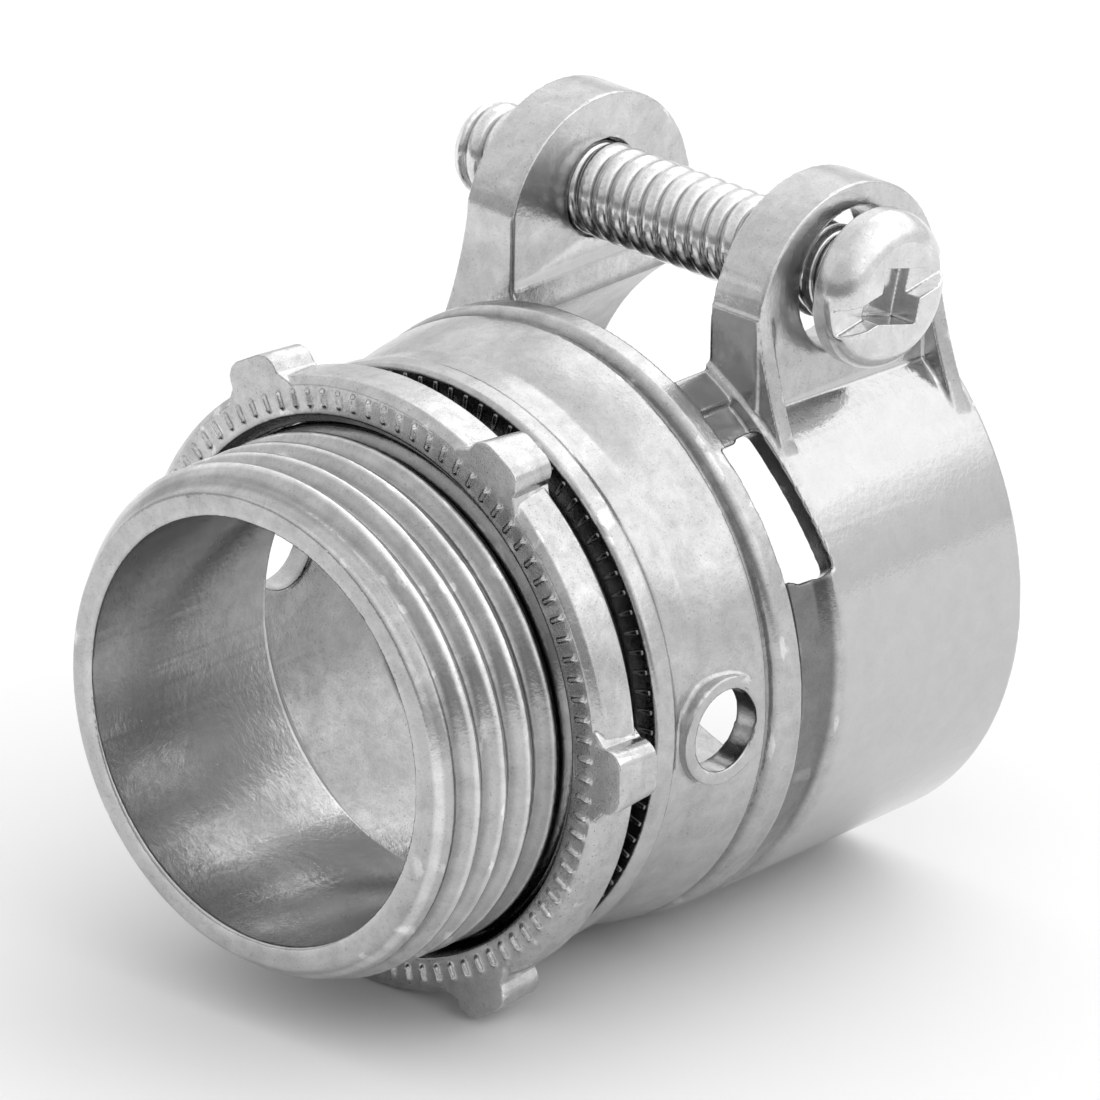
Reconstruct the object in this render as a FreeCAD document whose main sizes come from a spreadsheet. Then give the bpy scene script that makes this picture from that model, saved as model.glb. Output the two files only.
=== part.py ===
import FreeCAD, Part
import math
import os
import re
import Sketcher

# Squeeze connector that joins flexible metal conduit to a box: one die casting with a threaded
# hub, a collar and a split clamp band, a six-lug locknut on the hub and one clamp screw.
# Frame: origin on the axis in the plane of the collar's shoulder, where the wall of the box sits.
# +Y runs along the axis towards the conduit, +Z points up to the clamp ears, +X to the screw head.
# All sizes in millimetres, angles in degrees. Clock angles start at +Z and turn towards +X.

SIZES = {
    # Hub and its thread, 14 to the inch.
    "hub_length": 12.7,
    "hub_thread_dia": 26.2,
    "hub_pitch": 1.814,
    "thread_depth": 1.0,
    "crest_width": 0.25,
    "thread_lead": 1.08,
    "hub_nose_dia": 24.0,
    "hub_lead_length": 1.6,
    "throat_dia": 21.6,
    "throat_length": 12.2,
    "cast_bevel": 0.3,
    # Collar between the shoulder and the clamp.
    "collar_length": 9.4,
    "shoulder_dia": 29.9,
    "shoulder_width": 1.2,
    "waist_dia": 29.1,
    "waist_length": 2.2,
    "flare_dia": 30.6,
    "flare_bulge": 0.12,
    "bead_dia": 31.0,
    "bead_width": 1.6,
    "bead_groove_width": 0.5,
    "bead_groove_depth": 0.35,
    # Inspection holes, one on each side of the collar.
    "peephole_dia": 4.2,
    "peephole_place": 4.6,
    "far_peephole_place": 4.0,
    "peephole_tilt": 2.3,
    "peephole_boss_dia": 5.6,
    "peephole_boss_reach": 15.15,
    # Clamp band and the slot that frees it from the collar.
    "band_end": 25.6,
    "band_front_dia": 31.1,
    "band_rear_dia": 30.4,
    "conduit_dia": 27.2,
    "conduit_gap": 0.2,
    "conduit_stop_place": 1.6,
    "conduit_stop_dia": 25.8,
    "band_mouth_bevel": 0.5,
    "slot_width": 3.0,
    "slot_end_angle": 70,
    "slot_corner_round": 0.6,
    "slit_width": 13.4,
    "web_end_angle": 42.5,
    "web_step_angle": 34,
    "web_dia": 30.5,
    "web_low_dia": 29.7,
    "neck_shift": 0.6,
    "neck_bevel": 0.7,
    "neck_overlap_angle": 15,
    # Clamp ears and their gussets.
    "ear_thickness": 3.1,
    "ear_front_step": 0.2,
    "ear_rear_step": 0.55,
    "ear_top_flat": 0.15,
    "ear_above_screw": 4.87,
    "ear_flare": 0.2,
    "ear_flare_height": 17.0,
    "ear_foot_height": 13.6,
    "gusset_width": 1.0,
    "gusset_top": 17.0,
    "gusset_middle_reach": 10.7,
    "gusset_middle_height": 12.9,
    "gusset_foot_angle": 54.5,
    "gusset_bite": 0.05,
    # Clamp screw on the line of the two ear holes.
    "screw_shift": 0.175,
    "screw_height": 17.33,
    "screw_dia": 4.8,
    "screw_fit_gap": 0.05,
    "ear_hole_dia": 7.25,
    "screw_tip_reach": 14.85,
    "screw_tip_dia": 3.8,
    "screw_tip_bevel": 0.7,
    "head_gap": 0.9,
    "head_dia": 8.5,
    "head_height": 2.45,
    "head_top_dia": 6.4,
    "head_crown_dia": 7.7,
    "head_under_bevel": 0.35,
    "head_side_height": 1.2,
    "head_crown_height": 1.95,
    "driver_slot_width": 1.2,
    "driver_slot_depth": 1.1,
    "driver_slot_angle": 17,
    "driver_square": 2.7,
    "driver_square_depth": 1.9,
    # Locknut.
    "nut_place": 1.9,
    "nut_thickness": 2.8,
    "nut_rim_dia": 31.1,
    "nut_rim_bevel": 0.4,
    "nut_fit_gap": 0.08,
    "nut_mouth_bevel": 0.5,
    "lug_tip_dia": 33.8,
    "lug_width": 3.4,
    "lug_round": 1.0,
    "lug_foot_flare": 0.6,
    "lug_first_angle": 31,
}
LUG_COUNT = 6

# Places that several features share, as expressions in the sizes above.
BAND_START = "(collar_length + slot_width)"
EAR_FRONT = "(%s - ear_front_step)" % BAND_START
EAR_REAR = "(band_end - ear_rear_step)"
EAR_TOP = "(screw_height + ear_above_screw)"
SCREW_PLACE = "(%s + %s) / 2 + screw_shift" % (EAR_FRONT, EAR_REAR)
SEAT_RADIUS = "(conduit_dia / 2 + conduit_gap)"

doc = FreeCAD.newDocument("conduit_connector")


def make_sheet():
    """Spreadsheet that holds every driving dimension under its own alias."""
    sheet = doc.addObject("Spreadsheet::Sheet", "Sizes")
    for row, (alias, size) in enumerate(SIZES.items(), start=1):
        sheet.set("A%d" % row, alias.replace("_", " "))
        sheet.set("B%d" % row, str(size))
        sheet.setAlias("B%d" % row, alias)
    doc.recompute()
    return sheet


sheet = make_sheet()


def bound(text):
    """Expression text with each alias pointed at the sheet."""
    return re.sub(r"\b([a-z]+(?:_[a-z]+)+)\b", r"Sizes.\1", text)


def value(text):
    """Present value of an expression in aliases."""
    return float(sheet.evalExpression(bound(text)))


def origin(body, role):
    """The body's own origin plane or axis with this role."""
    return next(item for item in body.Origin.OriginFeatures if item.Role == role)


def new_body(name):
    body = doc.addObject("PartDesign::Body", name)
    body.Label = name
    return body


def locate(rules, links, spot, x, y):
    """Ties a point of a sketch to the expressions x and y; a plain 0 ties it to the axis."""
    for kind, text, axis in (("DistanceX", x, -2), ("DistanceY", y, -1)):
        if text == "0":
            rules.append(Sketcher.Constraint("PointOnObject", spot[0], spot[1], axis))
        else:
            links.append((len(rules), text))
            rules.append(Sketcher.Constraint(kind, -1, 1, spot[0], spot[1], value(text)))


def arc_through(start, middle, end):
    """Arc through three points, always anticlockwise as a sketch needs it."""
    if (middle - start).cross(end - middle).z < 0:
        start, end = end, start
    return Part.Arc(start, middle, end)


def draw(sketch, corners):
    """Closed outline through corners (x, y, options). Option "round" rounds that corner with
    this radius, option "via" makes the side after it an arc through a third point."""
    spots = [FreeCAD.Vector(value(x), value(y), 0) for x, y, _ in corners]
    leave, arrive, middle = list(spots), list(spots), {}
    for i, (_, _, options) in enumerate(corners):
        if "round" in options:
            before = (spots[i - 1] - spots[i]).normalize()
            after = (spots[(i + 1) % len(spots)] - spots[i]).normalize()
            radius, half = value(options["round"]), before.getAngle(after) / 2
            arrive[i] = spots[i] + before * (radius / math.tan(half))
            leave[i] = spots[i] + after * (radius / math.tan(half))
            middle[i] = spots[i] + (before + after).normalize() * (radius / math.sin(half) - radius)

    shapes, sides, rounds = [], [], {}
    for i, (_, _, options) in enumerate(corners):
        end = arrive[(i + 1) % len(spots)]
        if "via" in options:
            through = FreeCAD.Vector(*(value(text) for text in options["via"]), 0)
            side = arc_through(leave[i], through, end)
        else:
            side = Part.LineSegment(leave[i], end)
        sides.append(len(shapes))
        shapes.append(side)
        if i in middle:
            rounds[i] = len(shapes)
            shapes.append(arc_through(arrive[i], middle[i], leave[i]))
    first = sketch.GeometryCount
    sketch.addGeometry(shapes, False)

    def ends(index, start):
        """Sketch point of a shape that lies at this place: 1 its start, 2 its end."""
        near_start = (sketch.Geometry[first + index].StartPoint - start).Length
        near_end = (sketch.Geometry[first + index].EndPoint - start).Length
        return (first + index, 1) if near_start < near_end else (first + index, 2)

    rules, links, points = [], [], []
    for i, (x, y, options) in enumerate(corners):
        came, goes = sides[i - 1], sides[i]
        if i in rounds:
            arc = rounds[i]
            points.append((spots[i], came, goes, x, y))
            rules.append(Sketcher.Constraint("Tangent", *ends(came, arrive[i]), *ends(arc, arrive[i])))
            rules.append(Sketcher.Constraint("Tangent", *ends(arc, leave[i]), *ends(goes, leave[i])))
            links.append((len(rules), options["round"]))
            rules.append(Sketcher.Constraint("Radius", first + arc, value(options["round"])))
        else:
            rules.append(Sketcher.Constraint("Coincident", *ends(came, spots[i]), *ends(goes, spots[i])))
            locate(rules, links, ends(goes, spots[i]), x, y)
        if "via" in options:
            through = FreeCAD.Vector(*(value(text) for text in options["via"]), 0)
            points.append((through, goes, None, *options["via"]))
    for spot, side, other, x, y in points:
        mark = sketch.addGeometry(Part.Point(spot), True)
        rules.append(Sketcher.Constraint("PointOnObject", mark, 1, first + side))
        if other is not None:
            rules.append(Sketcher.Constraint("PointOnObject", mark, 1, first + other))
        locate(rules, links, (mark, 1), x, y)
    base = sketch.ConstraintCount
    sketch.addConstraint(rules)
    for index, text in links:
        sketch.setExpression("Constraints[%d]" % (base + index), bound(text))


def tip_sketch(sketch, axis, angle):
    """Turns a sketch on its plane about one of its own axes."""
    place = sketch.AttachmentOffset
    place.Rotation = FreeCAD.Rotation(FreeCAD.Vector(*axis), value(angle))
    sketch.AttachmentOffset = place
    sketch.setExpression("AttachmentOffset.Rotation.Angle", bound(angle))


def new_sketch(body, name, role, lift=None):
    """Sketch on an origin plane of the body, lifted along the plane's normal."""
    sketch = body.newObject("Sketcher::SketchObject", name)
    sketch.AttachmentSupport = [(origin(body, role), "")]
    sketch.MapMode = "FlatFace"
    if lift:
        sketch.setExpression("AttachmentOffset.Base.z", bound(lift))
    doc.recompute()
    return sketch


def turned(body, kind, name, sketch, angle="360", axis="H_Axis"):
    """Revolution or Groove of a sketch about one of its axes."""
    feature = body.newObject("PartDesign::" + kind, name)
    feature.Profile = sketch
    feature.ReferenceAxis = (sketch, [axis])
    feature.setExpression("Angle", bound(angle))
    feature.Midplane = angle != "360"
    doc.recompute()
    return feature


def straight(body, kind, name, sketch, length, side_type="One side", reverse=False):
    """Pad or Pocket of a sketch along its normal."""
    feature = body.newObject("PartDesign::" + kind, name)
    feature.Profile = sketch
    feature.SideType = side_type
    feature.setExpression("Length", bound(length))
    feature.Reversed = reverse
    doc.recompute()
    return feature


def around(body, name, feature, count):
    """Copies of a feature spread evenly about the body's Y axis."""
    pattern = body.newObject("PartDesign::PolarPattern", name)
    pattern.Originals = [feature]
    pattern.Axis = (origin(body, "Y_Axis"), [""])
    pattern.Angle = 360
    pattern.Occurrences = count
    body.Tip = pattern
    doc.recompute()
    return pattern


def circle(sketch, x, y, diameter):
    """Full circle centred on (x, y)."""
    centre = FreeCAD.Vector(value(x), value(y), 0)
    round_line = Part.Circle(centre, FreeCAD.Vector(0, 0, 1), value(diameter) / 2)
    index = sketch.addGeometry(round_line, False)
    rules, links = [], []
    locate(rules, links, (index, 3), x, y)
    links.append((len(rules), diameter))
    rules.append(Sketcher.Constraint("Diameter", index, value(diameter)))
    base = sketch.ConstraintCount
    sketch.addConstraint(rules)
    for number, text in links:
        sketch.setExpression("Constraints[%d]" % (base + number), bound(text))


def outer_form(body):
    """Hub, collar, bead and band in one turned solid, still without its bore."""
    bead_start = "collar_length - bead_width"
    groove_start = bead_start + " - bead_groove_width"
    groove_dia = "(flare_dia / 2 - bead_groove_depth)"
    waist_start = "shoulder_width + (shoulder_dia - waist_dia) / 2"
    sketch = new_sketch(body, "turned_outline", "YZ_Plane")
    draw(sketch, [
        ("-hub_length", "0", {}),
        ("-hub_length", "hub_nose_dia / 2", {}),
        ("hub_lead_length - hub_length", "hub_thread_dia / 2", {}),
        ("0", "hub_thread_dia / 2", {}),
        ("0", "shoulder_dia / 2 - cast_bevel", {}),
        ("cast_bevel", "shoulder_dia / 2", {}),
        ("shoulder_width", "shoulder_dia / 2", {}),
        (waist_start, "waist_dia / 2", {}),
        ("shoulder_width + waist_length", "waist_dia / 2", {}),
        ("(shoulder_width + waist_length + %s) / 2" % groove_start,
         "(waist_dia + flare_dia) / 4 + flare_bulge", {}),
        (groove_start, "flare_dia / 2", {}),
        (bead_start, groove_dia, {}),
        (bead_start + " + bead_width / 3", "bead_dia / 2", {}),
        ("collar_length", "bead_dia / 2", {}),
        ("collar_length", "band_front_dia / 2", {}),
        (BAND_START, "band_front_dia / 2", {}),
        ("band_end - cast_bevel", "band_rear_dia / 2", {}),
        ("band_end", "band_rear_dia / 2 - cast_bevel", {}),
        ("band_end", "0", {}),
    ])
    turned(body, "Revolution", "turned_form", sketch)


def inspection_feature(body, kind, name, dia, length):
    """Pad or Pocket from the axis out through each side of the collar, on the line of its hole."""
    for side, place in (("near", "peephole_place"), ("far", "far_peephole_place")):
        sketch = new_sketch(body, "%s_%s_outline" % (side, name), "YZ_Plane")
        tip_sketch(sketch, (1, 0, 0), "peephole_tilt")
        circle(sketch, place, "0", dia)
        outward = (side == "near") == (kind == "Pad")
        straight(body, kind, "%s_%s" % (side, name), sketch, length, reverse=not outward)


def ear_block(body):
    """Both clamp ears in one arch-shaped block across the band, parted later by the slit."""
    arch = "(%s - %s - ear_top_flat) / 2" % (EAR_REAR, EAR_FRONT)
    sketch = new_sketch(body, "ear_outline", "YZ_Plane")
    draw(sketch, [
        (EAR_FRONT + " - ear_flare", "ear_foot_height / 2", {}),
        (EAR_FRONT + " - ear_flare", "ear_foot_height", {}),
        (EAR_FRONT, "ear_flare_height", {}),
        (EAR_FRONT, EAR_TOP, {"round": arch}),
        (EAR_REAR, EAR_TOP, {"round": arch}),
        (EAR_REAR, "ear_foot_height / 2", {}),
    ])
    straight(body, "Pad", "ears", sketch, "slit_width + 2 * ear_thickness", "Symmetric")


def gusset_pair(body, name, start):
    """Gussets that brace both ears on the band at the axial place start."""
    foot = "(band_rear_dia / 2 - gusset_bite)"
    ear_face = "slit_width / 2 + ear_thickness"
    sketch = new_sketch(body, name + "_outline", "XZ_Plane", lift="-(%s)" % start)
    for sign in ("", "-"):
        draw(sketch, [
            (sign + "slit_width / 2", "gusset_top", {}),
            (sign + "(%s)" % ear_face, "gusset_top", {
                "via": (sign + "gusset_middle_reach", "gusset_middle_height")}),
            (sign + foot + " * sin(gusset_foot_angle)", foot + " * cos(gusset_foot_angle)", {}),
            (sign + "slit_width / 2", foot + " * cos(gusset_foot_angle)", {}),
        ])
    straight(body, "Pad", name, sketch, "gusset_width", reverse=True)


def neck(body):
    """Narrowed stretch behind the bead: eccentric, so deep at the sides and flush at the bottom;
    above it the short web, which steps down at its free end."""
    start, end, outside = "collar_length", BAND_START, "band_front_dia"
    sketch = new_sketch(body, "neck_outline", "YZ_Plane")
    axis = Part.LineSegment(FreeCAD.Vector(0, -value("neck_shift"), 0),
                            FreeCAD.Vector(value("band_end"), -value("neck_shift"), 0))
    sketch.addGeometry(axis, True)
    rules, links = [], []
    locate(rules, links, (0, 1), "0", "-neck_shift")
    locate(rules, links, (0, 2), "band_end", "-neck_shift")
    sketch.addConstraint(rules)
    for index, text in links:
        sketch.setExpression("Constraints[%d]" % index, bound(text))
    draw(sketch, [
        (start, "-" + outside, {}),
        (start, "-%s / 2 - neck_bevel" % outside, {}),
        (start + " + neck_bevel", "-%s / 2" % outside, {}),
        (end + " - neck_bevel", "-%s / 2" % outside, {}),
        (end, "-%s / 2 - neck_bevel" % outside, {}),
        (end, "-" + outside, {}),
    ])
    turned(body, "Groove", "neck", sketch, "360 - 2 * slot_end_angle + 2 * neck_overlap_angle", "Axis0")

    for name, dia, first in (("web_top", "web_dia", "-slot_end_angle"),
                             ("web_step", "web_low_dia", "web_step_angle")):
        sketch = new_sketch(body, name + "_outline", "YZ_Plane")
        tip_sketch(sketch, (1, 0, 0), "-(%s + slot_end_angle) / 2" % first)
        draw(sketch, [
            (start, dia + " / 2", {}),
            (end, dia + " / 2", {}),
            (end, outside, {}),
            (start, outside, {}),
        ])
        turned(body, "Groove", name, sketch, "slot_end_angle - (%s)" % first)


def slits(body):
    """Slit through the top of the band between the ears, with radial walls in the band itself,
    and the slot behind the bead on each side."""
    half, far = "slit_width / 2", "2 * " + EAR_TOP
    edge_height = "sqrt(band_rear_dia ^ 2 - slit_width ^ 2) / 2"
    inner = "0.35"  # share of the band's radius at which the slit's radial walls end, inside the bore
    sketch = new_sketch(body, "slit_outline", "XZ_Plane", lift="-collar_length")
    draw(sketch, [
        ("-" + half, far, {}),
        ("-" + half, edge_height, {}),
        ("-%s * %s" % (inner, half), "%s * %s" % (inner, edge_height), {}),
        ("%s * %s" % (inner, half), "%s * %s" % (inner, edge_height), {}),
        (half, edge_height, {}),
        (half, far, {}),
    ])
    straight(body, "Pocket", "slit", sketch, "2 * band_end")

    for name, sign, first in (("near_slot", "", "web_end_angle"), ("far_slot", "-", "0")):
        reach = "band_front_dia / 2 * sin((slot_end_angle - %s) / 2)" % first
        sketch = new_sketch(body, name + "_outline", "XY_Plane")
        tip_sketch(sketch, (0, 1, 0), "%s(%s + slot_end_angle) / 2" % (sign, first))
        draw(sketch, [
            ("-" + reach, "collar_length", {"round": "slot_corner_round"}),
            (reach, "collar_length", {"round": "slot_corner_round"}),
            (reach, BAND_START, {"round": "slot_corner_round"}),
            ("-" + reach, BAND_START, {"round": "slot_corner_round"}),
        ])
        straight(body, "Pocket", name, sketch, "band_front_dia", reverse=True)


def bore(body):
    """Throat, cone and conduit seat with its stop, open at both ends."""
    sketch = new_sketch(body, "bore_outline", "YZ_Plane")
    draw(sketch, [
        ("-2 * hub_length", "0", {}),
        ("-2 * hub_length", "throat_dia / 2", {}),
        ("throat_length - hub_length", "throat_dia / 2", {}),
        ("conduit_stop_place", "conduit_stop_dia / 2", {}),
        ("conduit_stop_place", SEAT_RADIUS, {}),
        ("band_end - band_mouth_bevel", SEAT_RADIUS, {}),
        ("band_end", SEAT_RADIUS + " + band_mouth_bevel", {}),
        ("2 * band_end", SEAT_RADIUS + " + band_mouth_bevel", {}),
        ("2 * band_end", "0", {}),
    ])
    turned(body, "Groove", "bore", sketch)


def cross_holes(body):
    """Inspection holes, tapped hole in the far ear and clearance hole in the near ear."""
    inspection_feature(body, "Pocket", "peephole", "peephole_dia", "bead_dia")
    for name, dia, reverse in (("tapped_hole", "screw_dia + 2 * screw_fit_gap", False),
                               ("clearance_hole", "ear_hole_dia", True)):
        sketch = new_sketch(body, name + "_outline", "YZ_Plane")
        circle(sketch, SCREW_PLACE, "screw_height", dia)
        straight(body, "Pocket", name, sketch, "bead_dia", reverse=reverse)


def hub_thread(body):
    """Right-hand V thread cut round the hub, from its mouth to the middle of the locknut."""
    start = "-(hub_length + thread_lead)"
    half = "(hub_pitch - crest_width) / 2"
    past = "1.1"  # the groove's outline runs this much past its depth, so that the cut comes clear
    outside = "hub_thread_dia / 2 - thread_depth + %s * thread_depth" % past
    sketch = new_sketch(body, "thread_outline", "YZ_Plane")
    draw(sketch, [
        (start, "hub_thread_dia / 2 - thread_depth", {}),
        ("%s + %s * %s" % (start, past, half), outside, {}),
        ("%s - %s * %s" % (start, past, half), outside, {}),
    ])
    thread = body.newObject("PartDesign::SubtractiveHelix", "thread")
    thread.Profile = sketch
    thread.ReferenceAxis = (sketch, ["H_Axis"])
    thread.Mode = "pitch-height-angle"
    thread.setExpression("Pitch", bound("hub_pitch"))
    thread.setExpression("Height", bound("hub_length + thread_lead - nut_place - nut_thickness / 2"))
    body.Tip = thread
    doc.recompute()


def connector_body():
    body = new_body("connector_body")
    outer_form(body)
    inspection_feature(body, "Pad", "boss", "peephole_boss_dia", "peephole_boss_reach")
    neck(body)
    ear_block(body)
    gusset_pair(body, "front_gussets", BAND_START)
    gusset_pair(body, "rear_gussets", EAR_REAR + " - gusset_width")
    slits(body)
    bore(body)
    cross_holes(body)
    hub_thread(body)
    return body


def locknut():
    """Ring with a bevelled bore and driving lugs with rounded tips and flared feet."""
    body = new_body("locknut")
    front, rear = "-nut_place - nut_thickness", "-nut_place"
    hole = "(hub_thread_dia / 2 + nut_fit_gap)"
    sketch = new_sketch(body, "ring_outline", "YZ_Plane")
    draw(sketch, [
        (front, hole + " + nut_mouth_bevel", {}),
        (front, "nut_rim_dia / 2 - nut_rim_bevel", {}),
        (front + " + nut_rim_bevel", "nut_rim_dia / 2", {}),
        (rear + " - nut_rim_bevel", "nut_rim_dia / 2", {}),
        (rear, "nut_rim_dia / 2 - nut_rim_bevel", {}),
        (rear, hole + " + nut_mouth_bevel", {}),
        (rear + " - nut_mouth_bevel", hole, {}),
        (front + " + nut_mouth_bevel", hole, {}),
    ])
    turned(body, "Revolution", "ring", sketch)

    sketch = new_sketch(body, "lug_outline", "XZ_Plane", lift="nut_place + nut_thickness")
    tip_sketch(sketch, (0, 0, 1), "-lug_first_angle")
    foot = "nut_rim_dia / 2 - nut_rim_bevel"
    draw(sketch, [
        ("-(lug_width / 2 + lug_foot_flare)", foot, {}),
        ("-lug_width / 2", foot + " + lug_foot_flare", {}),
        ("-lug_width / 2", "lug_tip_dia / 2", {"round": "lug_round"}),
        ("lug_width / 2", "lug_tip_dia / 2", {"round": "lug_round"}),
        ("lug_width / 2", foot + " + lug_foot_flare", {}),
        ("lug_width / 2 + lug_foot_flare", foot, {}),
    ])
    lug = straight(body, "Pad", "lug", sketch, "nut_thickness", reverse=True)
    around(body, "lugs", lug, LUG_COUNT)

    return body


def clamp_screw():
    """Screw along X: bevelled tip, plain shank at the thread's outer diameter, pan head with a
    slot and a square socket."""
    body = new_body("clamp_screw")
    under = "slit_width / 2 + ear_thickness + head_gap"
    top = under + " + head_height"
    sketch = new_sketch(body, "screw_outline", "XZ_Plane")
    draw(sketch, [
        ("-screw_tip_reach", "0", {}),
        ("-screw_tip_reach", "screw_tip_dia / 2", {}),
        ("-screw_tip_reach + screw_tip_bevel", "screw_dia / 2", {}),
        (under, "screw_dia / 2", {}),
        (under, "head_dia / 2 - head_under_bevel", {}),
        (under + " + head_under_bevel", "head_dia / 2", {}),
        (under + " + head_side_height", "head_dia / 2", {}),
        (under + " + head_crown_height", "head_crown_dia / 2", {}),
        (top, "head_top_dia / 2", {}),
        (top, "0", {}),
    ])
    turned(body, "Revolution", "turned_screw", sketch)

    for name, height, width, depth in (
            ("driver_slot", "2 * head_dia", "driver_slot_width", "driver_slot_depth"),
            ("driver_socket", "driver_square", "driver_square", "driver_square_depth")):
        sketch = new_sketch(body, name + "_outline", "YZ_Plane", lift=top)
        tip_sketch(sketch, (0, 0, 1), "driver_slot_angle")
        draw(sketch, [
            ("-%s / 2" % height, "-%s / 2" % width, {}),
            ("%s / 2" % height, "-%s / 2" % width, {}),
            ("%s / 2" % height, "%s / 2" % width, {}),
            ("-%s / 2" % height, "%s / 2" % width, {}),
        ])
        straight(body, "Pocket", name, sketch, depth)
    body.setExpression("Placement.Base.y", bound(SCREW_PLACE))
    body.setExpression("Placement.Base.z", bound("screw_height"))
    return body


bodies = [connector_body(), locknut(), clamp_screw()]
doc.recompute()
for item in doc.Objects:
    if "Invalid" in item.State or "Error" in item.State:
        raise RuntimeError("%s did not compute: %s" % (item.Label, item.State))
os.makedirs("parts", exist_ok=True)
for body in bodies:
    if body.Shape.isNull() or not body.Shape.isValid() or len(body.Shape.Solids) != 1:
        raise RuntimeError("%s is not one valid solid" % body.Label)
for body in bodies:
    body.Shape.exportStep(os.path.join("parts", body.Label + ".step"))
    print(body.Label, round(body.Shape.Volume, 1), body.Shape.optimalBoundingBox(True, False))
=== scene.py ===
import math

import bpy
from mathutils import Matrix, Vector


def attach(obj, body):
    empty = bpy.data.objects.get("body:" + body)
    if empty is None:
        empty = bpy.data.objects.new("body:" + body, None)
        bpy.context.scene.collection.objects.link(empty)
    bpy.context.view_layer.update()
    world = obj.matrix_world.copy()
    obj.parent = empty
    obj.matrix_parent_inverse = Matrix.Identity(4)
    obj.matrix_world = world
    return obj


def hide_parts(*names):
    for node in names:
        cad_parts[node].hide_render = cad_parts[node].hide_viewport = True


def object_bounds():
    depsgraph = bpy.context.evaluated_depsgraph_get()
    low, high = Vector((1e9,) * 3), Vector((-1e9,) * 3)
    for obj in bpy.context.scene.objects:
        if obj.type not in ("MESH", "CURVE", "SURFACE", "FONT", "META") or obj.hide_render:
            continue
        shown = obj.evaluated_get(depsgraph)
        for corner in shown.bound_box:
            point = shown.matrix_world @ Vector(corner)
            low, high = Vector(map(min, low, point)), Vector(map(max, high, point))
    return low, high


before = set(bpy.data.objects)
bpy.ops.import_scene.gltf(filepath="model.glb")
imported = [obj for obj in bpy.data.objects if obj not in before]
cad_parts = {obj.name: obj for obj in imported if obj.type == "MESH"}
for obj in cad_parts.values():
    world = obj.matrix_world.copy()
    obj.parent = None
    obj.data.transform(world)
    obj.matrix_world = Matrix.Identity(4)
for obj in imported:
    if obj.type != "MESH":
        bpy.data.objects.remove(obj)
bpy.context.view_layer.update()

mm = 0.001
bpy.ops.object.select_all(action="DESELECT")

# Camera
# A long lens about a metre and a half away, at the photograph's angle: from the front left of the
# screw head, a little above, aimed at the middle of the connector.
view_turn, view_height, view_roll = math.radians(43.04), math.radians(22.71), math.radians(0.69)
view_distance = 1543.4 * mm
aim = Vector((8.07, -0.45, 8.27)) * mm
bpy.ops.object.camera_add()
camera = bpy.context.object
camera.name = "camera"
camera.data.sensor_width = 36
camera.data.lens = 1049
camera.data.clip_start = 0.1
camera.data.clip_end = 20
camera.location = aim + view_distance * Vector((
    math.sin(view_turn) * math.cos(view_height),
    -math.cos(view_turn) * math.cos(view_height),
    math.sin(view_height)))
camera.rotation_euler = (
    Matrix.Rotation(view_turn, 3, "Z")
    @ Matrix.Rotation(math.pi / 2 - view_height, 3, "X")
    @ Matrix.Rotation(view_roll, 3, "Z")).to_euler()
bpy.context.scene.camera = camera
bpy.ops.object.select_all(action="DESELECT")

# Connector casting
# One zinc die casting: threaded hub, collar, split clamp band and the two ears that the screw
# draws together. It is turned here as a solid, cut, threaded and then softened as a casting is.
hub_mouth, hub_lead = -12.7 * mm, 1.6 * mm
hub_radius, nose_radius = 13.1 * mm, 12.0 * mm
throat_radius, throat_end = 10.8 * mm, -0.5 * mm
collar_end, shoulder_radius, waist_radius = 9.4 * mm, 14.95 * mm, 14.55 * mm
flare_radius, bead_foot, bead_radius, bead_start = 15.3 * mm, 14.85 * mm, 15.5 * mm, 7.8 * mm
band_start, band_end = 12.4 * mm, 25.6 * mm
band_front_radius, band_rear_radius, seat_radius = 15.55 * mm, 15.2 * mm, 13.8 * mm
# How far a cutting tool runs on beyond the metal: along the hub's axis and out to the sides,
# across the ears and the screw's head, and up through the slit.
well_past, past_ears, past_slit = 30 * mm, 20 * mm, 40 * mm


def turned_solid(name, outline, steps=240):
    """Solid of revolution about the Y axis, extruded point by point (y, r) and then spun."""
    bpy.ops.mesh.primitive_plane_add(size=mm, location=(0, 0, 0))
    solid = bpy.context.object
    solid.name = name
    bpy.ops.object.mode_set(mode="EDIT")
    bpy.ops.mesh.select_all(action="SELECT")
    bpy.ops.mesh.merge(type="CENTER")
    here = Vector((0, *outline[0]))
    bpy.ops.transform.translate(value=here)
    for y, r in outline[1:] + outline[:1]:
        step = Vector((0, y, r)) - here
        bpy.ops.mesh.extrude_region_move(TRANSFORM_OT_translate={"value": step})
        here += step
    bpy.ops.mesh.select_all(action="SELECT")
    bpy.ops.mesh.remove_doubles(threshold=0.001 * mm)
    bpy.ops.mesh.spin(steps=steps, angle=2 * math.pi, use_auto_merge=True,
                      center=(0, 0, 0), axis=(0, 1, 0))
    bpy.ops.mesh.select_all(action="SELECT")
    bpy.ops.mesh.remove_doubles(threshold=0.001 * mm)
    bpy.ops.mesh.normals_make_consistent(inside=False)
    bpy.ops.object.mode_set(mode="OBJECT")
    bpy.ops.object.select_all(action="DESELECT")
    return solid


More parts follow.
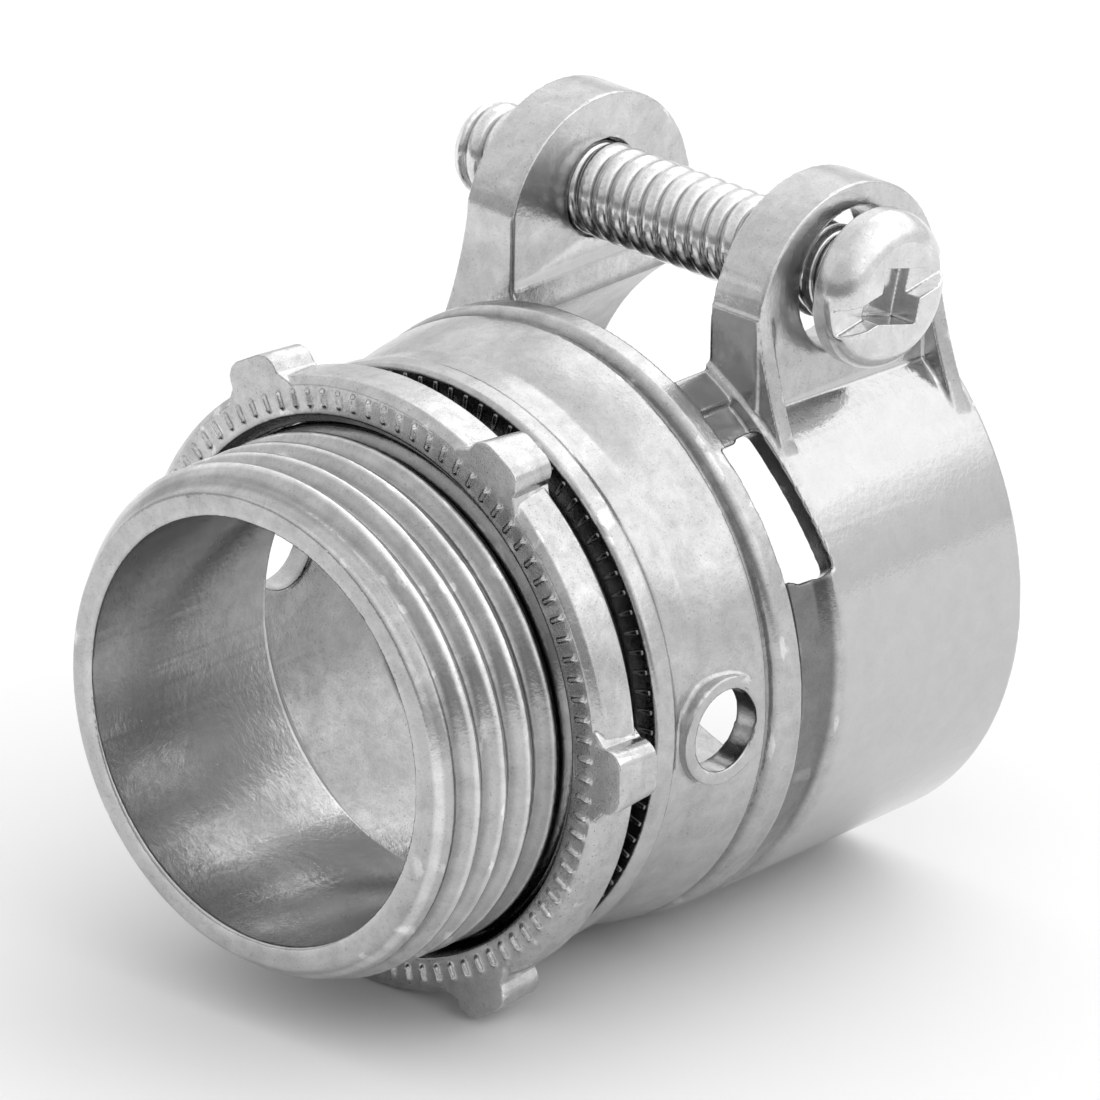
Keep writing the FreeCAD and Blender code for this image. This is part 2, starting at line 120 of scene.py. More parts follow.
def arc_points(start, through, end, count):
    """Points along the arc through three points of a profile, ends included."""
    (ax, ay), (bx, by), (cx, cy) = start, through, end
    a2, b2, c2 = ax**2 + ay**2, bx**2 + by**2, cx**2 + cy**2
    d = 2 * (ax * (by - cy) + bx * (cy - ay) + cx * (ay - by))
    ux = (a2 * (by - cy) + b2 * (cy - ay) + c2 * (ay - by)) / d
    uy = (a2 * (cx - bx) + b2 * (ax - cx) + c2 * (bx - ax)) / d
    first, middle, last = (math.atan2(y - uy, x - ux) for x, y in (start, through, end))
    turn = (last - first) % (2 * math.pi)
    if (middle - first) % (2 * math.pi) > turn:
        turn -= 2 * math.pi
    radius = math.hypot(ax - ux, ay - uy)
    return [(ux + radius * math.cos(first + turn * i / count),
             uy + radius * math.sin(first + turn * i / count)) for i in range(count + 1)]


def combine(target, tool, operation):
    """Adds a tool solid to the target, cuts it away, or keeps what both share."""
    bpy.context.view_layer.objects.active = target
    cut = target.modifiers.new(tool.name, "BOOLEAN")
    cut.operation, cut.solver, cut.object = operation, "EXACT", tool
    bpy.ops.object.modifier_apply(modifier=cut.name)
    bpy.data.objects.remove(tool)


def prism(name, outline, normal, low, high):
    """Straight solid: an outline of points spread along an axis, X, Y or Z, from low to high."""
    bpy.ops.mesh.primitive_circle_add(vertices=len(outline), radius=mm, fill_type="NGON")
    solid = bpy.context.object
    solid.name = name
    for vertex, (a, b) in zip(solid.data.vertices, outline):
        vertex.co = {"X": (low, a, b), "Y": (a, low, b), "Z": (a, b, low)}[normal]
    bpy.ops.object.mode_set(mode="EDIT")
    bpy.ops.mesh.select_all(action="SELECT")
    step = {"X": (1, 0, 0), "Y": (0, 1, 0), "Z": (0, 0, 1)}[normal]
    bpy.ops.mesh.extrude_region_move(TRANSFORM_OT_translate={"value": Vector(step) * (high - low)})
    bpy.ops.mesh.select_all(action="SELECT")
    bpy.ops.mesh.normals_make_consistent(inside=False)
    bpy.ops.object.mode_set(mode="OBJECT")
    bpy.ops.object.select_all(action="DESELECT")
    return solid


def rod(name, radius, low, high, y, z, sides=96):
    """Cylinder along X."""
    bpy.ops.mesh.primitive_cylinder_add(
        vertices=sides, radius=radius, depth=high - low,
        location=((low + high) / 2, y, z), rotation=(0, math.pi / 2, 0))
    solid = bpy.context.object
    solid.name = name
    bpy.ops.object.transform_apply(location=True, rotation=True, scale=True)
    bpy.ops.object.select_all(action="DESELECT")
    return solid


def turn_about_axis(solid, clock):
    """Turns a finished solid about the hub's axis by a clock angle, and bakes it in."""
    solid.data.transform(Matrix.Rotation(clock, 4, "Y"))
    return solid


def helical_groove(name, outline, start, pitch, turns, steps=96):
    """Thread groove: an outline (y, r) swept right-handed about Y and closed at both ends."""
    bpy.ops.mesh.primitive_circle_add(vertices=len(outline), radius=mm, fill_type="NOTHING")
    groove = bpy.context.object
    groove.name = name
    for vertex, (y, r) in zip(groove.data.vertices, outline):
        vertex.co = (0, start + y, r)
    sweep = groove.modifiers.new("helix", "SCREW")
    sweep.axis, sweep.angle, sweep.steps, sweep.render_steps = "Y", 2 * math.pi, steps, steps
    sweep.screw_offset, sweep.iterations = pitch, turns
    bpy.context.view_layer.objects.active = groove
    bpy.ops.object.modifier_apply(modifier=sweep.name)
    bpy.ops.object.mode_set(mode="EDIT")
    bpy.ops.mesh.select_all(action="SELECT")
    bpy.ops.mesh.fill_holes(sides=len(outline))
    bpy.ops.mesh.normals_make_consistent(inside=False)
    bpy.ops.object.mode_set(mode="OBJECT")
    bpy.ops.object.select_all(action="DESELECT")
    return groove


def soften(piece, voxel, passes, keep):
    """Melts the sharp edges of a solid as a casting's are, then thins the mesh."""
    bpy.context.view_layer.objects.active = piece
    melt = piece.modifiers.new("melt", "REMESH")
    melt.mode, melt.voxel_size, melt.adaptivity = "VOXEL", voxel, 0
    bpy.ops.object.modifier_apply(modifier=melt.name)
    rub = piece.modifiers.new("rub", "SMOOTH")
    rub.factor, rub.iterations = 0.5, passes
    bpy.ops.object.modifier_apply(modifier=rub.name)
    thin = piece.modifiers.new("thin", "DECIMATE")
    thin.ratio = min(1, keep / (2 * len(piece.data.polygons)))
    bpy.ops.object.modifier_apply(modifier=thin.name)
    piece.data.polygons.foreach_set("use_smooth", [True] * len(piece.data.polygons))


def join(target, others):
    """Joins other pieces to the target as loose parts of its mesh."""
    bpy.ops.object.select_all(action="DESELECT")
    for piece in [target] + others:
        piece.select_set(True)
    bpy.context.view_layer.objects.active = target
    bpy.ops.object.join()
    bpy.ops.object.select_all(action="DESELECT")


def copies_about_axis(piece, count):
    """The piece and its copies, spread evenly about the hub's axis, each with its own mesh."""
    pieces = [piece]
    for i in range(1, count):
        twin = piece.copy()
        twin.data = piece.data.copy()
        bpy.context.collection.objects.link(twin)
        pieces.append(turn_about_axis(twin, 2 * math.pi * i / count))
    return pieces


def rib(place, size, rounding):
    """Small bar with rounded edges, to be repeated round the hub's axis."""
    bpy.ops.mesh.primitive_cube_add(size=1, location=place, scale=size)
    bar = bpy.context.object
    bpy.ops.object.transform_apply(location=True, rotation=True, scale=True)
    bpy.ops.object.mode_set(mode="EDIT")
    bpy.ops.mesh.select_all(action="SELECT")
    bpy.ops.mesh.bevel(offset=rounding, segments=2, affect="EDGES")
    bpy.ops.object.mode_set(mode="OBJECT")
    bpy.ops.object.select_all(action="DESELECT")
    bar.data.polygons.foreach_set("use_smooth", [True] * len(bar.data.polygons))
    return bar


bead_profile = arc_points(
    (bead_start, bead_foot), (8.05 * mm, 15.4 * mm), (8.6 * mm, bead_radius), 6)
waist_profile = arc_points(
    (3.4 * mm, waist_radius), (5.35 * mm, 15.05 * mm), (7.3 * mm, flare_radius), 8)
casting = turned_solid("connector_casting", [
    (hub_mouth, 0), (hub_mouth, nose_radius), (hub_mouth + hub_lead, hub_radius),
    (0, hub_radius), (0, shoulder_radius - 0.2 * mm), (0.2 * mm, shoulder_radius),
    (1.2 * mm, shoulder_radius), (1.6 * mm, waist_radius), *waist_profile,
    (7.42 * mm, bead_foot), *bead_profile,
    (collar_end, bead_radius), (collar_end, band_front_radius),
    (band_start, band_front_radius), (band_end, band_rear_radius), (band_end, 0)])

# Bosses of the inspection holes, tipped a little: the near one lies further back.
hole_tilt, hole_places = math.radians(2.3), ((1, 4.6 * mm), (-1, 4.0 * mm))
boss_reach, boss_radius, hole_radius = 15.15 * mm, 2.8 * mm, 2.1 * mm


def side_rod(name, radius, side, reach, place):
    """Rod from the hub's axis out to one side, tipped as the inspection holes are."""
    low, high = sorted((0, side * reach))
    return turn_about_axis(rod(name, radius, low, high, place, 0), hole_tilt)


for side, place in hole_places:
    combine(casting, side_rod("boss", boss_radius, side, boss_reach, place), "UNION")

# Narrowed neck behind the bead, deep at the sides and flush at the bottom.
neck_bevel, neck_shift, slot_end = 0.7 * mm, 0.6 * mm, math.radians(70)
neck = turned_solid("neck", [
    (collar_end, band_front_radius - neck_shift + neck_bevel),
    (collar_end + neck_bevel, band_front_radius - neck_shift),
    (band_start - neck_bevel, band_front_radius - neck_shift),
    (band_start, band_front_radius - neck_shift + neck_bevel),
    (band_start, 20 * mm), (collar_end, 20 * mm)])
neck.data.transform(Matrix.Translation((0, 0, -neck_shift)))
neck_top, wide = 7.2 * mm, 25 * mm
lower_part = prism("lower_part", [(-wide, -wide), (wide, -wide), (wide, neck_top), (-wide, neck_top)],
                   "Y", 0, well_past)
combine(neck, lower_part, "INTERSECT")
combine(casting, neck, "DIFFERENCE")

# Web that ties the near ear to the collar: it lies a little below the band and steps down.
web_end, web_step, web_front = math.radians(42.5), math.radians(34), 11.85 * mm
for first, last, radius in ((0, web_step, 15.25 * mm), (web_step, slot_end, 14.85 * mm)):
    spread = [first + (last - first) * i / 8 for i in range(9)]
    wedge = [(radius * math.sin(clock), radius * math.cos(clock)) for clock in spread]
    wedge += [(18 * mm * math.sin(clock), 18 * mm * math.cos(clock)) for clock in reversed(spread)]
    combine(casting, prism("web_cut", wedge, "Y", collar_end, web_front), "DIFFERENCE")

# Arched ears and the curved gussets that brace them on the band.
ear_front, ear_rear, ear_top = 12.2 * mm, 25.05 * mm, 22.2 * mm
ear_inner, ear_outer, ear_foot, arch_round = 6.7 * mm, 9.8 * mm, 7 * mm, 6.35 * mm
for low, high, flare in ((-ear_outer, -5 * mm, 0.3 * mm), (5 * mm, ear_outer, 0.12 * mm)):
    arch = [(ear_front - flare, ear_foot), (ear_front - flare, 13.6 * mm), (ear_front, 17 * mm)]
    for centre, first in ((ear_front + arch_round, math.pi), (ear_rear - arch_round, math.pi / 2)):
        for i in range(17):
            slope = first - math.pi / 2 * i / 16
            arch.append((centre + arch_round * math.cos(slope),
                         ear_top - arch_round + arch_round * math.sin(slope)))
    arch.append((ear_rear, ear_foot))
    combine(casting, prism("ear", arch, "X", low, high), "UNION")
gusset_width, gusset_top, gusset_foot = 1.0 * mm, 17 * mm, 8.8 * mm
gusset_curve = arc_points(
    (ear_outer, gusset_top), (10.7 * mm, 12.9 * mm), (12.33 * mm, gusset_foot), 10)
for side, front in ((-1, band_start), (1, 12.25 * mm)):
    brace = [(side * ear_inner, gusset_top)] + [(side * x, z) for x, z in gusset_curve]
    brace.append((side * ear_inner, gusset_foot))
    for low in (front, ear_rear - gusset_width):
        combine(casting, prism("gusset", brace, "Y", low, low + gusset_width), "UNION")

# Bore from end to end, with the stop that the conduit meets just behind the collar's shoulder.
stop_place, stop_radius, flare_start, flared_radius = 1.6 * mm, 12.9 * mm, 25.1 * mm, 14.3 * mm
combine(casting, turned_solid("bore", [
    (hub_mouth - 5 * mm, 0), (hub_mouth - 5 * mm, throat_radius), (throat_end, throat_radius),
    (stop_place, stop_radius), (stop_place, seat_radius), (flare_start, seat_radius),
    (band_end, flared_radius), (well_past, flared_radius), (well_past, 0)]), "DIFFERENCE")

# Slit between the ears, then the slots behind the bead: the near one widens down its length.
combine(casting, prism("slit", [
    (-ear_inner, past_slit), (-ear_inner, 13.65 * mm), (-2.3 * mm, 4.8 * mm), (2.3 * mm, 4.8 * mm),
    (ear_inner, 13.65 * mm), (ear_inner, past_slit)], "Y", collar_end, past_slit), "DIFFERENCE")
far_reach = band_front_radius * math.sin(slot_end / 2)
far_slot = prism("far_slot", [
    (-far_reach, collar_end), (far_reach, collar_end), (far_reach, band_start),
    (-far_reach, band_start)], "Z", 0, 25 * mm)
combine(casting, turn_about_axis(far_slot, -slot_end / 2), "DIFFERENCE")
near_slot_outline = (
    (-3.7, 9.1), (3.78, 9.4), (3.52, 9.65), (3.4, 10.0), (3.46, 10.5), (3.68, 10.9), (3.8, 11.3),
    (3.8, 12.1), (3.68, 12.45), (3.4, 12.54), (0, 12.13), (-3.4, 11.72), (-3.72, 11.68),
    (-3.95, 11.5), (-3.95, 11.1), (-3.7, 10.8))
near_slot = prism("near_slot", [(x * mm, y * mm) for x, y in near_slot_outline],
                  "Z", 9 * mm, 17 * mm)
wall_slope = 0.37
for vertex in near_slot.data.vertices:
    if vertex.co.y > 11 * mm:
        vertex.co.y += wall_slope * (band_front_radius - vertex.co.z)
combine(casting, turn_about_axis(near_slot, (web_end + slot_end) / 2), "DIFFERENCE")

# Cross holes: inspection holes, tapped hole in the far ear, clearance hole in the near one.
screw_y, screw_z = 18.8 * mm, 17.33 * mm
for side, place in hole_places:
    combine(casting, side_rod("hole", hole_radius, side, well_past, place), "DIFFERENCE")
for name, radius, low, high in (
        ("tapped_hole", 2.5 * mm, -past_ears, 0), ("clearance_hole", 3.63 * mm, 0, past_ears)):
    combine(casting, rod(name, radius, low, high, screw_y, screw_z), "DIFFERENCE")

# Thread on the hub, 14 to the inch, worn to a rounded wave.
hub_pitch, groove_start, groove_half = 1.814 * mm, -13.78 * mm, 0.85 * mm
groove_middle, groove_wave, groove_lip = 12.77 * mm, 0.33 * mm, 13.3 * mm
hub_groove = [(groove_half * i / 6, groove_middle - groove_wave * math.cos(math.pi * i / 6))
              for i in range(-6, 7)] + [(groove_half, groove_lip), (-groove_half, groove_lip)]
combine(casting, helical_groove("hub_groove", hub_groove, groove_start, hub_pitch, 7), "DIFFERENCE")
soften(casting, 0.105 * mm, 5, 180000)

# Faint ribs on the collar's shoulder that keep the connector from turning in the box wall.
rib_count = 90
shoulder_rib = rib((0, 0, 14.1 * mm), (0.26 * mm, 0.24 * mm, 1.0 * mm), 0.08 * mm)
join(casting, copies_about_axis(shoulder_rib, rib_count))


def add_node(tree, kind, inputs=None, **settings):
    """Node with its settings; an input takes a value, or the socket that it is linked to."""
    node = tree.nodes.new(kind)
    for key, setting in settings.items():
        setattr(node, key, setting)
    for key, given in (inputs or {}).items():
        if isinstance(given, bpy.types.NodeSocket):
            tree.links.new(given, node.inputs[key])
        else:
            node.inputs[key].default_value = given
    return node


def math_node(tree, operation, *values):
    """Result of a sum, product or other operation on values and sockets."""
    return add_node(tree, "ShaderNodeMath", dict(enumerate(values)), operation=operation).outputs[0]


def step_node(tree, source, low, high):
    """Mask that rises smoothly from 0 to 1 as the source goes from low to high."""
    return add_node(tree, "ShaderNodeMapRange", {"Value": source, "From Min": low, "From Max": high},
                    interpolation_type="SMOOTHSTEP").outputs[0]


def new_group(name, inputs, outputs):
    """Empty shader group with these sockets; returns it with its in and out nodes."""
    group = bpy.data.node_groups.new(name, "ShaderNodeTree")
    for sockets, way in ((inputs, "INPUT"), (outputs, "OUTPUT")):
        for label, kind in sockets:
            group.interface.new_socket(label, in_out=way, socket_type="NodeSocket" + kind)
    return group, group.nodes.new("NodeGroupInput"), group.nodes.new("NodeGroupOutput")


# Skin of bare metal: clouds a few millimetres across, a finer mottle, specks, dark pits where a
# speck is strongest, and a pebbled surface.
cast_skin, given, result = new_group(
    "cast_skin", [("Tone", "Float"), ("Mottle", "Float"), ("Roughness", "Float")],
    [("Tone", "Float"), ("Roughness", "Float"), ("Height", "Float")])
place = add_node(cast_skin, "ShaderNodeTexCoord").outputs["Object"]
cloud, mottle, speck, pebble = (add_node(cast_skin, "ShaderNodeTexNoise", {
    "Vector": place, "Scale": scale, "Detail": detail, "Roughness": 0.6,
    "Distortion": twist}).outputs["Fac"]
    for scale, detail, twist in ((240, 3, 0.8), (1000, 4, 0.5), (6500, 2, 0), (2600, 3, 0)))
pits = step_node(cast_skin, speck, 0.58, 0.7)
shade = -1.1    # so that the layers average out to nothing
for layer, share in ((cloud, 0.55), (mottle, 1.0), (speck, 0.7), (pits, -0.5)):
    shade = math_node(cast_skin, "MULTIPLY_ADD", layer, share, shade)
shade = math_node(cast_skin, "MULTIPLY", shade, given.outputs["Mottle"])
tone = math_node(cast_skin, "MULTIPLY_ADD", given.outputs["Tone"], shade, given.outputs["Tone"])
rough = math_node(cast_skin, "MULTIPLY_ADD", shade, -0.2, given.outputs["Roughness"])
height = math_node(cast_skin, "MULTIPLY_ADD", speck, 0.35, pebble)
for label, source in (("Tone", tone), ("Roughness", rough), ("Height", height)):
    cast_skin.links.new(source, result.inputs[label])

# Wear and painted shade: raised edges are rubbed bright, and corners and grooves are painted darker,
# as painted shade with some grime.
wear_and_crease_shade, given, result = new_group(
    "wear_and_crease_shade", [("Tone", "Float"), ("Rubbed", "Float"), ("Crease_shade", "Float")], [("Tone", "Float")])
sharpness = add_node(wear_and_crease_shade, "ShaderNodeNewGeometry").outputs["Pointiness"]
edge = step_node(wear_and_crease_shade, sharpness, 0.525, 0.59)
# Painted shade in hollows and creases, with some grime.
groove = step_node(wear_and_crease_shade, sharpness, 0.485, 0.42)
gain = math_node(wear_and_crease_shade, "MULTIPLY_ADD", edge, given.outputs["Rubbed"], 1)
gain = math_node(wear_and_crease_shade, "SUBTRACT", gain,
                 math_node(wear_and_crease_shade, "MULTIPLY", groove, given.outputs["Crease_shade"]))
wear_and_crease_shade.links.new(math_node(wear_and_crease_shade, "MULTIPLY", given.outputs["Tone"], gain),
                     result.inputs["Tone"])


def metal(name, tone, mottle, roughness, bump, rubbed, crease_shade):
    """Bare metal: skin, then wear and painted crease shade, on a Principled shader; returns the
    material, skin and the wear-and-shade node.
    """
    material = bpy.data.materials.new(name)
    material.use_nodes = True
    tree = material.node_tree
    shader = tree.nodes["Principled BSDF"]
    shader.inputs["Metallic"].default_value = 1
    skin = add_node(tree, "ShaderNodeGroup", node_tree=cast_skin)
    for label, amount in (("Tone", tone), ("Mottle", mottle), ("Roughness", roughness)):
        skin.inputs[label].default_value = amount
    wear_and_shade = add_node(tree, "ShaderNodeGroup", node_tree=wear_and_crease_shade)
    wear_and_shade.inputs["Rubbed"].default_value = rubbed
    wear_and_shade.inputs["Crease_shade"].default_value = crease_shade
    tree.links.new(skin.outputs["Tone"], wear_and_shade.inputs["Tone"])
    grey = add_node(tree, "ShaderNodeCombineColor",
                    {label: wear_and_shade.outputs["Tone"] for label in ("Red", "Green", "Blue")})
    tree.links.new(grey.outputs["Color"], shader.inputs["Base Color"])
    tree.links.new(skin.outputs["Roughness"], shader.inputs["Roughness"])
    relief = add_node(tree, "ShaderNodeBump", {
        "Height": skin.outputs["Height"], "Strength": bump, "Distance": 0.05 * mm})
    tree.links.new(relief.outputs["Normal"], shader.inputs["Normal"])
    return material, skin, wear_and_shade


def places(tree):
    """Where a point of a piece lies: its distance from the hub's axis, then its X, Y and Z."""
    where = add_node(tree, "ShaderNodeSeparateXYZ", {
        0: add_node(tree, "ShaderNodeTexCoord").outputs["Object"]}).outputs
    squares = math_node(tree, "ADD", math_node(tree, "POWER", where["X"], 2),
                        math_node(tree, "POWER", where["Z"], 2))
    return math_node(tree, "POWER", squares, 0.5), where["X"], where["Y"], where["Z"]


def zone(tree, *edges):
    """Mask of a place: each edge is a source and where it starts and is full, in millimetres."""
    mask = 1
    for source, start, full in edges:
        mask = math_node(tree, "MULTIPLY", step_node(tree, source, start * mm, full * mm), mask)
    return mask


def changed(tree, value, *shares):
    """The value with a share added inside each mask."""
    for mask, share in shares:
        value = math_node(tree, "MULTIPLY_ADD", mask, share, value)
    return value


casting_metal, casting_skin, casting_wear_and_shade = metal(
    "tumbled_zinc", tone=0.46, mottle=0.6, roughness=0.22, bump=0.25, rubbed=0.4, crease_shade=0.45)
tree = casting_metal.node_tree
around, across, along, height = places(tree)
# Painted shade: the bore inside the collar and band is painted darker, and its edges are not rubbed
# bright.
inside = zone(tree, (around, 14.3, 13.9), (height, 14.2, 13.2), (along, 0.2, 1.2))
throat = zone(tree, (around, 11.4, 11.0))
# Painted shade: the recessed neck behind the bead is painted darker, partly for its duller unpolished
# skin, and darker still low down as painted shade.
neck_shade = zone(tree, (along, 9.2, 9.7), (along, 12.7, 12.1), (around, 15.5, 15.2))
neck_low_shade = math_node(tree, "MULTIPLY", neck_shade, zone(tree, (height, 7.8, 6.8)))
polished = zone(tree, (along, 12.3, 12.9), (around, 15.0, 15.15), (around, 15.75, 15.6))
# Painted shade: the outer part of the collar's front face, in the gap behind the locknut, is painted
# dark.
shoulder = zone(tree, (along, 0.16, 0.1), (along, -0.5, -0.4), (around, 14.8, 14.6))
# Painted light: the ears, the highest part of the casting, are painted lighter.
ears = zone(tree, (height, 15, 16.5))
# Painted shade in the crease at the front foot of the bead.
bead_crease_shade = zone(tree, (around, 14, 14.2), (along, 7.0, 7.4), (along, 8.05, 7.75))
# Painted light: the rear wall of the slots behind the bead is painted lighter.
slot_wall_light = zone(tree, (along, 12.0, 12.3), (along, 13.5, 13.2), (around, 15.35, 15.2), (height, 7, 8))

# The thread's grooves are painted dark, as painted shade with some grime, and its crests bright, as a
# painted highlight with some wear: a wave that follows the helix. Where the thread runs in under the
# locknut it is painted darker, as painted shade.
threads = zone(tree, (around, 11.9, 12.1), (along, -1.9, -2.1))
turned = math_node(tree, "DIVIDE", math_node(tree, "ARCTAN2", across, height), 2 * math.pi)
phase = math_node(tree, "DIVIDE", math_node(tree, "SUBTRACT", along, groove_start), hub_pitch)
phase = math_node(tree, "SUBTRACT", phase, turned)
wave = math_node(tree, "COSINE", math_node(tree, "MULTIPLY", phase, 2 * math.pi))
thread_root_shade = math_node(tree, "MULTIPLY", threads, step_node(tree, wave, 0.1, 1))
thread_crest_highlight = math_node(tree, "MULTIPLY", threads, step_node(tree, wave, -0.5, -1))
thread_shade_at_nut = math_node(tree, "MULTIPLY", threads, zone(tree, (along, -6.1, -5.4)))
for value, socket in (
        (changed(tree, 0.46, (inside, -0.15), (throat, 0.05), (neck_shade, -0.08), (neck_low_shade, -0.19),
                 (polished, 0.05), (shoulder, -0.32), (thread_root_shade, -0.16), (thread_crest_highlight, 0.2),
                 (thread_shade_at_nut, -0.15), (ears, 0.1), (bead_crease_shade, -0.16), (slot_wall_light, 0.2)),
         casting_skin.inputs["Tone"]),
        (changed(tree, 0.6, (polished, -0.42)), casting_skin.inputs["Mottle"]),
        (changed(tree, 0.22, (polished, -0.1)), casting_skin.inputs["Roughness"]),
        (changed(tree, 0.4, (throat, -0.4), (inside, -0.4)), casting_wear_and_shade.inputs["Rubbed"])):
    tree.links.new(value, socket)
casting.data.materials.clear()
casting.data.materials.append(casting_metal)
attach(casting, "connector")
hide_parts("connector_body")

# Locknut
# A zinc casting: a ring threaded onto the hub, with six lugs to drive it round and fine ribs on
# both faces that bite into the box wall. The lugs taper a little towards the rear.
nut_front, nut_rear, nut_bore, nut_rim = -4.7 * mm, -1.9 * mm, 13.18 * mm, 15.55 * mm
nut = turned_solid("locknut_casting", [
    (nut_front, nut_bore + 0.5 * mm), (nut_front, nut_rim - 0.4 * mm), (nut_front + 0.4 * mm, nut_rim),
    (nut_rear - 0.4 * mm, nut_rim), (nut_rear, nut_rim - 0.4 * mm), (nut_rear, nut_bore + 0.5 * mm),
    (nut_rear - 0.5 * mm, nut_bore), (nut_front + 0.5 * mm, nut_bore)])
lug_half, lug_tip, lug_foot, lug_round = 1.7 * mm, 16.9 * mm, 15.15 * mm, 1 * mm
lug_side = [(-lug_half - 0.6 * mm, 14.75 * mm), (-lug_half - 0.6 * mm, lug_foot),
            (-lug_half, lug_foot + 0.6 * mm)]
lug_side += arc_points(
    (-lug_half, lug_tip - lug_round), (0.293 * lug_round - lug_half, lug_tip - 0.293 * lug_round),
    (lug_round - lug_half, lug_tip), 6)
lug = prism("lug", lug_side + [(-x, z) for x, z in reversed(lug_side)], "Y", nut_front, nut_rear)
for vertex in lug.data.vertices:
    if vertex.co.y > (nut_front + nut_rear) / 2:
        vertex.co.x *= 0.88
        vertex.co.z -= 0.2 * mm * (vertex.co.z > lug_foot)
turn_about_axis(lug, math.radians(31))
for twin in copies_about_axis(lug, 6):
    combine(nut, twin, "UNION")
front_rib = rib((0, nut_front, 14.5 * mm), (0.24 * mm, 0.4 * mm, 0.85 * mm), 0.09 * mm)
rear_rib = front_rib.copy()
rear_rib.data = front_rib.data.copy()
bpy.context.collection.objects.link(rear_rib)
rear_rib.data.transform(Matrix.Translation((0, nut_rear - nut_front, 0)))
join(nut, copies_about_axis(front_rib, rib_count) + copies_about_axis(rear_rib, rib_count))
soften(nut, 0.07 * mm, 4, 110000)

nut_metal, nut_skin, _ = metal(
    "raw_zinc", tone=0.5, mottle=0.75, roughness=0.24, bump=0.28, rubbed=0.45, crease_shade=0.4)
tree = nut_metal.node_tree
around = places(tree)[0]
# Painted shade: the nut's bore and the lead-in at its mouth are painted darker.
tree.links.new(changed(tree, 0.5, (zone(tree, (around, 13.95, 13.55)), -0.3)), nut_skin.inputs["Tone"])
nut.data.materials.clear()
nut.data.materials.append(nut_metal)
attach(nut, "locknut")
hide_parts("locknut")

# Clamp screw
# A rolled steel machine screw, zinc plated: pan head with a slot and a square socket, threaded
# all along its shank and bevelled at its tip.
head_under, head_top, head_radius, flat_radius = 10.7 * mm, 13.15 * mm, 3.98 * mm, 2.95 * mm
shank_tip, shank_radius = -14.85 * mm, 2.4 * mm
dome = arc_points((11.75 * mm, head_radius), (12.55 * mm, 3.62 * mm),
                  (head_top - 0.1 * mm, flat_radius), 10)
screw = turned_solid("machine_screw", [
    (head_under - 0.6 * mm, 0), (head_under - 0.6 * mm, 2.3 * mm), (head_under, 2.3 * mm),
    (head_under, 3.7 * mm), (head_under + 0.3 * mm, head_radius), *dome,
    (head_top, 2.7 * mm), (head_top, 0)], steps=120)
slot_half, socket_half = 0.7 * mm, 1.4 * mm
for half, reach, depth, turn in (
        (slot_half, 6 * mm, 1.0 * mm, -80), (socket_half, socket_half, 1.6 * mm, -15)):
    recess = prism("recess", [(-half, -reach), (half, -reach), (half, reach), (-half, reach)],
                   "Y", head_top - depth, past_ears)
    combine(screw, turn_about_axis(recess, math.radians(turn)), "DIFFERENCE")
soften(screw, 0.06 * mm, 5, 40000)
shank = turned_solid("shank", [
    (shank_tip, 0), (shank_tip, 1.9 * mm), (-14.6 * mm, 2.15 * mm),
    (-14.15 * mm, shank_radius), (head_under + 0.1 * mm, shank_radius),
    (head_under + 0.1 * mm, 0)], steps=96)
screw_pitch = 1.058 * mm
rolled = [(y * mm, r * mm) for y, r in (
    (-0.50, 2.6), (-0.48, 2.40), (-0.34, 2.37), (-0.20, 2.31), (-0.10, 2.22), (-0.04, 2.08),
    (0.04, 2.08), (0.10, 2.22), (0.20, 2.31), (0.34, 2.37), (0.48, 2.40), (0.50, 2.6))]
screw_groove = helical_groove("screw_groove", rolled, -15.2 * mm, screw_pitch, 25, 64)
combine(shank, screw_groove, "DIFFERENCE")
shank.select_set(True)
bpy.context.view_layer.objects.active = shank
bpy.ops.object.shade_smooth_by_angle(angle=math.radians(40))
join(screw, [shank])
screw.data.transform(
    Matrix.Translation((0, screw_y, screw_z)) @ Matrix.Rotation(-math.pi / 2, 4, "Z"))

screw_metal, _, _ = metal(
    "bright_plate", tone=0.65, mottle=0.5, roughness=0.18, bump=0.15, rubbed=0.1, crease_shade=0.4)
screw.data.materials.clear()
screw.data.materials.append(screw_metal)
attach(screw, "clamp_screw")
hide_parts("clamp_screw")

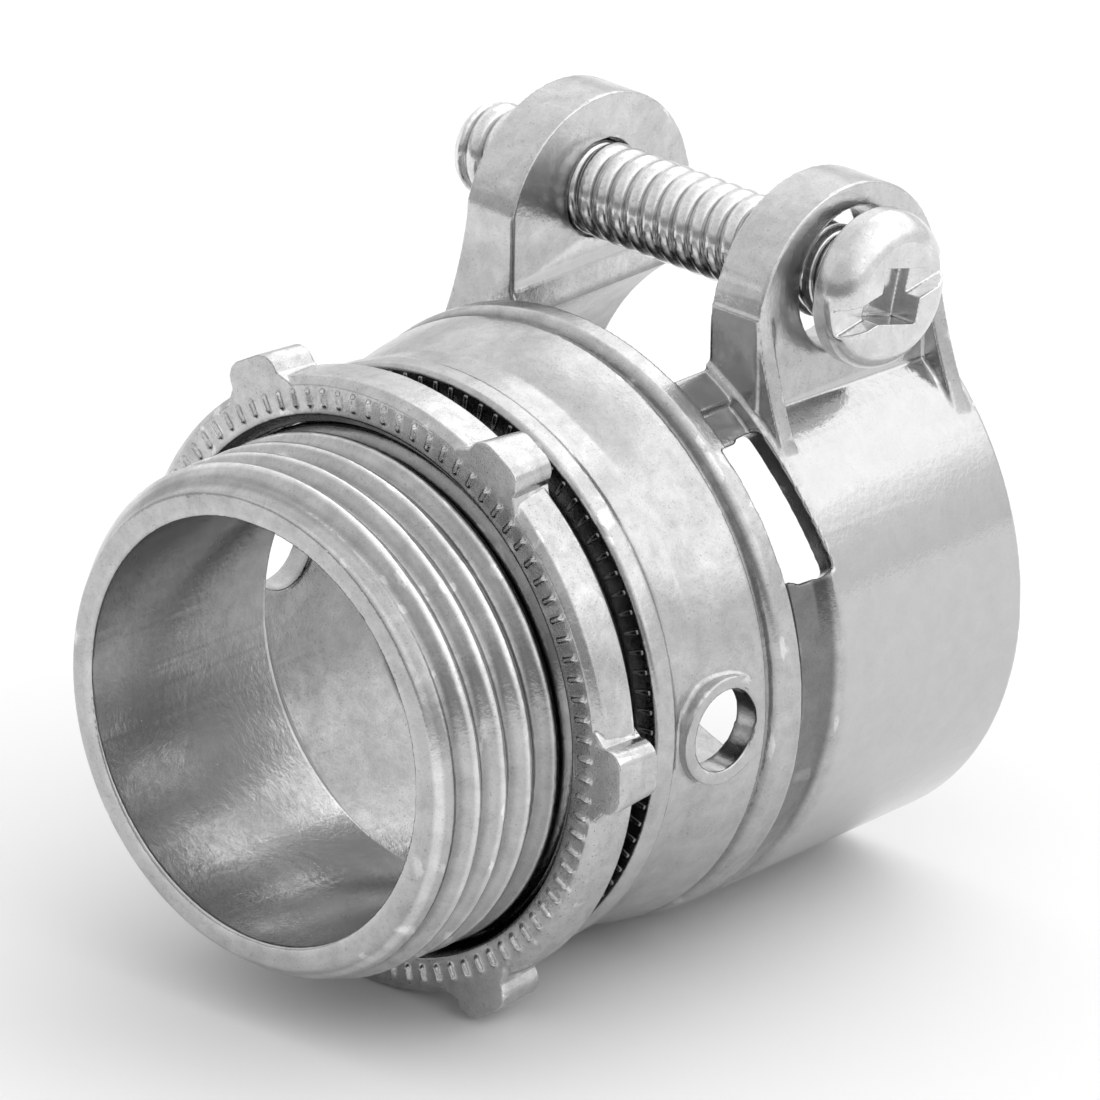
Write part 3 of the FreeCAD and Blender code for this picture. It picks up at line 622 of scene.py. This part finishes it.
# Studio
# A pale sheet of board under the connector, in a soft surround that is brightest behind it and
# dimmest in front and along the horizon, with two large soft lamps behind it.
bpy.ops.mesh.primitive_plane_add(size=1.2, location=(0, 0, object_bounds()[0][2] - 0.02 * mm))
floor = bpy.context.object
floor.name = "floor"
board = bpy.data.materials.new("board")
board.use_nodes = True
board_shader = board.node_tree.nodes["Principled BSDF"]
board_shader.inputs["Base Color"].default_value = (0.9, 0.9, 0.9, 1)
board_shader.inputs["Roughness"].default_value = 0.9
floor.data.materials.append(board)


def toward(clock, height):
    """Direction from the connector: clock 0 is in front of the hub and 90 at the screw head."""
    clock, height = math.radians(clock), math.radians(height)
    return Vector((math.sin(clock) * math.cos(height), -math.cos(clock) * math.cos(height),
                   math.sin(height)))


lamp_distance = 0.9
for name, clock, height, width, glow in (
        ("back_lamp", -165, 42, 0.6, 0.6), ("side_lamp", 130, 42, 0.7, 0.35)):
    place = toward(clock, height)
    bpy.ops.object.light_add(type="AREA", location=place * lamp_distance)
    lamp = bpy.context.object
    lamp.name = name
    lamp.data.size, lamp.data.energy = width, glow * math.pi * width**2
    lamp.rotation_euler = (-place).to_track_quat("-Z", "Y").to_euler()
surround = bpy.data.worlds.new("surround")
surround.use_nodes = True
tree = surround.node_tree
sight = add_node(tree, "ShaderNodeTexCoord").outputs["Generated"]
level = 0.92
for clock, height, start, full, gain in (
        (125, 40, 0.3, 0.95, 0.5), (-140, 10, 0.3, 0.95, 0.3), (15, 0, 0.4, 0.95, -0.25)):
    facing = add_node(tree, "ShaderNodeVectorMath", {0: sight, 1: toward(clock, height)},
                      operation="DOT_PRODUCT").outputs["Value"]
    level = changed(tree, level, (step_node(tree, facing, start, full), gain))
upward = add_node(tree, "ShaderNodeSeparateXYZ", {0: sight}).outputs["Z"]
horizon = math_node(tree, "MULTIPLY", step_node(tree, upward, 0.32, 0.2),
                    step_node(tree, upward, -0.15, 0))
level = changed(tree, level, (horizon, -0.36))
tree.nodes["Background"].inputs["Color"].default_value = (1, 1, 1, 1)
tree.links.new(level, tree.nodes["Background"].inputs["Strength"])
bpy.context.scene.world = surround
bpy.context.scene.view_settings.view_transform = "Standard"
